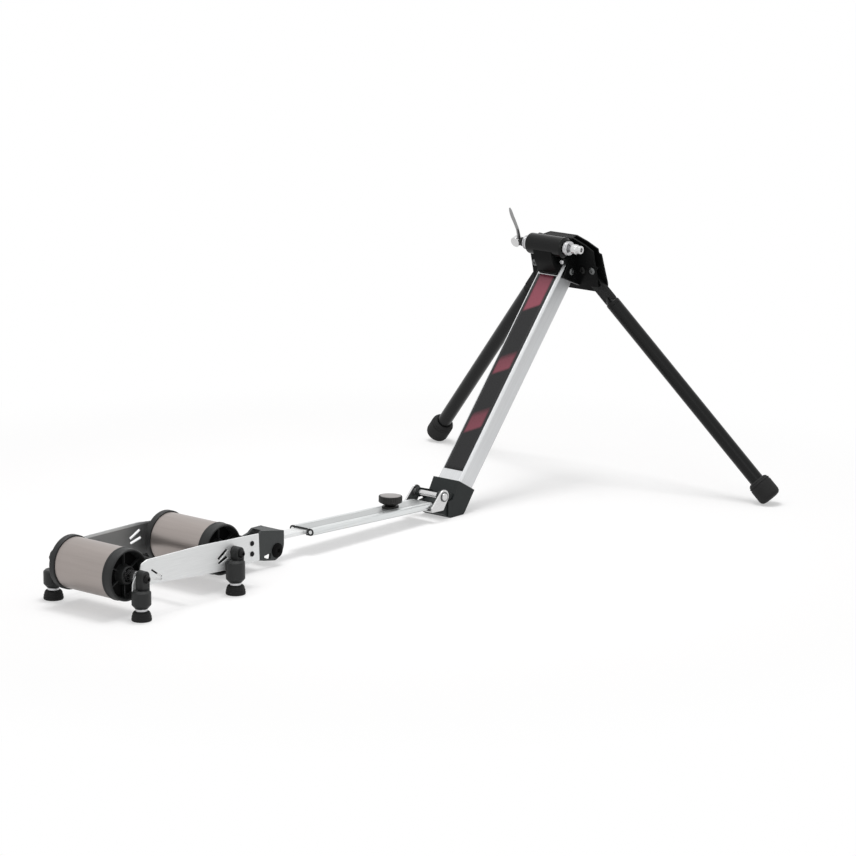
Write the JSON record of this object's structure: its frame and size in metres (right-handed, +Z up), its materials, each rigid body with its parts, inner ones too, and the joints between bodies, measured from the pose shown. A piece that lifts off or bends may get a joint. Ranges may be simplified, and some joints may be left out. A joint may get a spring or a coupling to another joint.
{
  "type": "fork mount roller trainer",
  "caption": "Bicycle trainer that holds the front fork on a folding post with two splayed legs, with a short drum unit under the rear wheel on an adjustable beam.",
  "frame": {"origin": "on the floor, under the middle of the trainer's length and on its middle plane", "axes": "+Z up; +X from the drums to the fork clamp; +Y to the quick-release lever's side"},
  "size_m": [1.3051, 0.7914, 0.491],
  "materials": {
    "silver": "satin silver, brushed along the extrusions",
    "steel": "bright zinc",
    "taupe": "satin taupe anodising",
    "black_paint": "glossy black powder coat",
    "black_plastic": "fine-grained black moulding",
    "rubber": "matt black rubber"
  },
  "bodies": {
    "roller_frame": {"side_plate_near": "silver", "side_plate_far": "silver", "front_crossmember": "black_paint", "cross_tie": "black_paint", "coupling_bracket": "black_paint", "coupling_pin": "black_paint", "drum_axle_rear": "steel", "drum_axle_front": "steel", "foot_bracket_rear_near": "black_plastic", "foot_bracket_rear_far": "black_plastic", "foot_bracket_front_near": "black_plastic", "foot_bracket_front_far": "black_plastic"},
    "beam": {"beam": "silver", "ear_bracket": "silver", "hinge_rod": "steel", "knob_plate": "black_plastic"},
    "slider": {"slider": "silver"},
    "clamp_knob": {"clamp_knob": "black_plastic"},
    "post": {"base_block": "black_plastic", "post": "silver", "saddle": "black_paint", "barrel": "black_paint", "spacer_near": "steel", "spacer_far": "steel", "dummy_axle": "steel", "skewer_rod": "steel", "cam_washer": "black_plastic", "head_cheek_near": "black_paint", "head_cheek_far": "black_paint", "leg_yoke": "black_paint", "leg_pivot_bolt_near": "black_paint", "leg_pivot_bolt_far": "black_paint", "leg_stop_bolt_near": "black_paint", "leg_stop_bolt_far": "black_paint"},
    "qr_lever": {"qr_lever": "steel"},
    "qr_nut": {"qr_nut": "steel"},
    "foot_rear_near": {"foot_stud_rear_near": "steel", "foot_pad_rear_near": "rubber"},
    "foot_rear_far": {"foot_stud_rear_far": "steel", "foot_pad_rear_far": "rubber"},
    "foot_front_near": {"foot_stud_front_near": "steel", "foot_pad_front_near": "rubber"},
    "foot_front_far": {"foot_stud_front_far": "steel", "foot_pad_front_far": "rubber"},
    "drum_rear": {"drum_shell_rear": "taupe", "drum_far_flange_rear": "black_plastic", "drum_near_cap_rear": "black_plastic", "drum_bearing_far_rear": "steel", "drum_bearing_near_rear": "steel"},
    "drum_front": {"drum_shell_front": "taupe", "drum_far_flange_front": "black_plastic", "drum_near_cap_front": "black_plastic", "drum_bearing_far_front": "steel", "drum_bearing_near_front": "steel"},
    "leg_near": {"leg_lug_near": "black_paint", "leg_tube_near": "black_paint", "leg_cap_near": "rubber"},
    "leg_far": {"leg_lug_far": "black_paint", "leg_tube_far": "black_paint", "leg_cap_far": "rubber"}
  },
  "joints": [
    {"name": "foot_level_rear_near", "type": "slide", "parent": "roller_frame", "child": "foot_rear_near", "axis": [0, 0, -1], "range_m": [0, 0.008]},
    {"name": "foot_level_rear_far", "type": "slide", "parent": "roller_frame", "child": "foot_rear_far", "axis": [0, 0, -1], "range_m": [0, 0.008]},
    {"name": "foot_level_front_near", "type": "slide", "parent": "roller_frame", "child": "foot_front_near", "axis": [0, 0, -1], "range_m": [0, 0.008]},
    {"name": "foot_level_front_far", "type": "slide", "parent": "roller_frame", "child": "foot_front_far", "axis": [0, 0, -1], "range_m": [0, 0.008]},
    {"name": "drum_spin_rear", "type": "hinge", "parent": "roller_frame", "child": "drum_rear", "pos_m": [-0.60995, 0, 0.0651], "axis": [0, 1, 0], "continuous": true},
    {"name": "drum_spin_front", "type": "hinge", "parent": "roller_frame", "child": "drum_front", "pos_m": [-0.39895, 0, 0.0651], "axis": [0, 1, 0], "continuous": true},
    {"name": "roller_fold", "type": "hinge", "parent": "roller_frame", "child": "slider", "pos_m": [-0.23295, 0, 0.0255], "axis": [0, 1, 0], "range_deg": [-5, 90]},
    {"name": "wheelbase_slide", "type": "slide", "parent": "slider", "child": "beam", "axis": [0.9994, 0, -0.0354], "range_m": [-0.03, 0.03]},
    {"name": "clamp_knob_turn", "type": "hinge", "parent": "beam", "child": "clamp_knob", "pos_m": [0.07341, 0, 0.03626], "axis": [0.0354, 0, 0.9994], "range_deg": [0, 540]},
    {"name": "post_fold", "type": "hinge", "parent": "beam", "child": "post", "pos_m": [0.17415, 0, 0.0413], "axis": [0, -1, 0], "range_deg": [0, 115]},
    {"name": "qr_lever_turn", "type": "hinge", "parent": "post", "child": "qr_lever", "pos_m": [0.48815, 0.0703, 0.4286], "axis": [-0.9438, 0, -0.3305], "range_deg": [0, 160]},
    {"name": "qr_nut_turn", "type": "hinge", "parent": "post", "child": "qr_nut", "pos_m": [0.48815, -0.067, 0.4286], "axis": [0, -1, 0], "range_deg": [0, 720]},
    {"name": "leg_fold_near", "type": "hinge", "parent": "post", "child": "leg_near", "pos_m": [0.53865, -0.042, 0.386], "axis": [0.9699, 0, 0.2436], "range_deg": [0, 41]},
    {"name": "leg_fold_far", "type": "hinge", "parent": "post", "child": "leg_far", "pos_m": [0.53865, 0.042, 0.386], "axis": [-0.9699, 0, -0.2436], "range_deg": [0, 41]}
  ]
}
